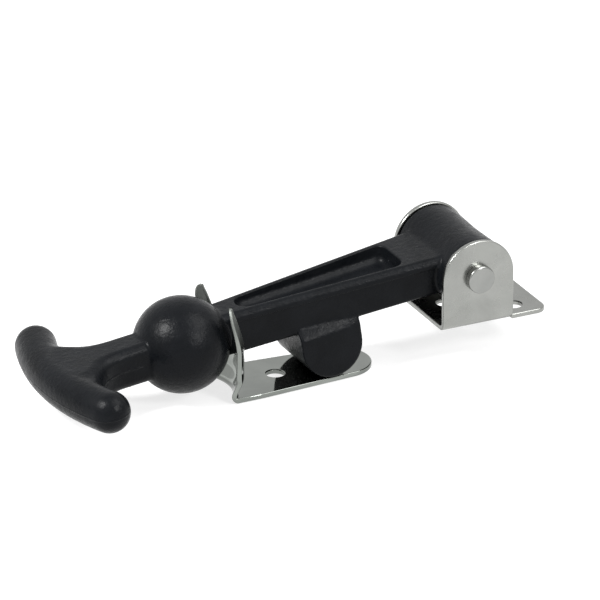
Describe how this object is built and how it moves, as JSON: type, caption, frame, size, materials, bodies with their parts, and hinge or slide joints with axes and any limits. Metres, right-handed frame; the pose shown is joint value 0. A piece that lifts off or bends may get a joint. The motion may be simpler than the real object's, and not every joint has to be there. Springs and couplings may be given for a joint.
{
  "type": "rubber draw latch",
  "caption": "Rubber draw latch: a T-handled strap swings on a hinge bracket and drops its ball behind a dished, forked keeper.",
  "frame": {"origin": "middle of the keeper's two holes, on the keeper's underside", "axes": "+X from the handle to the hinge, +Y across the latch, +Z away from the panel"},
  "size_m": [0.1563, 0.063, 0.0387],
  "materials": {
    "black_rubber": "soft sheen",
    "stainless_sheet": "satin",
    "stainless_keeper": "polished",
    "pin_steel": "polished"
  },
  "bodies": {
    "brackets": {"mounting_bracket": "stainless_sheet", "hinge_pin": "pin_steel", "keeper_bracket": "stainless_keeper"},
    "strap": {"rubber_strap": "black_rubber"}
  },
  "joints": [
    {"name": "strap_swing", "type": "hinge", "parent": "brackets", "child": "strap", "pos_m": [0.04747, 0, 0.02725], "axis": [0, 1, 0], "range_deg": [0, 180]}
  ]
}
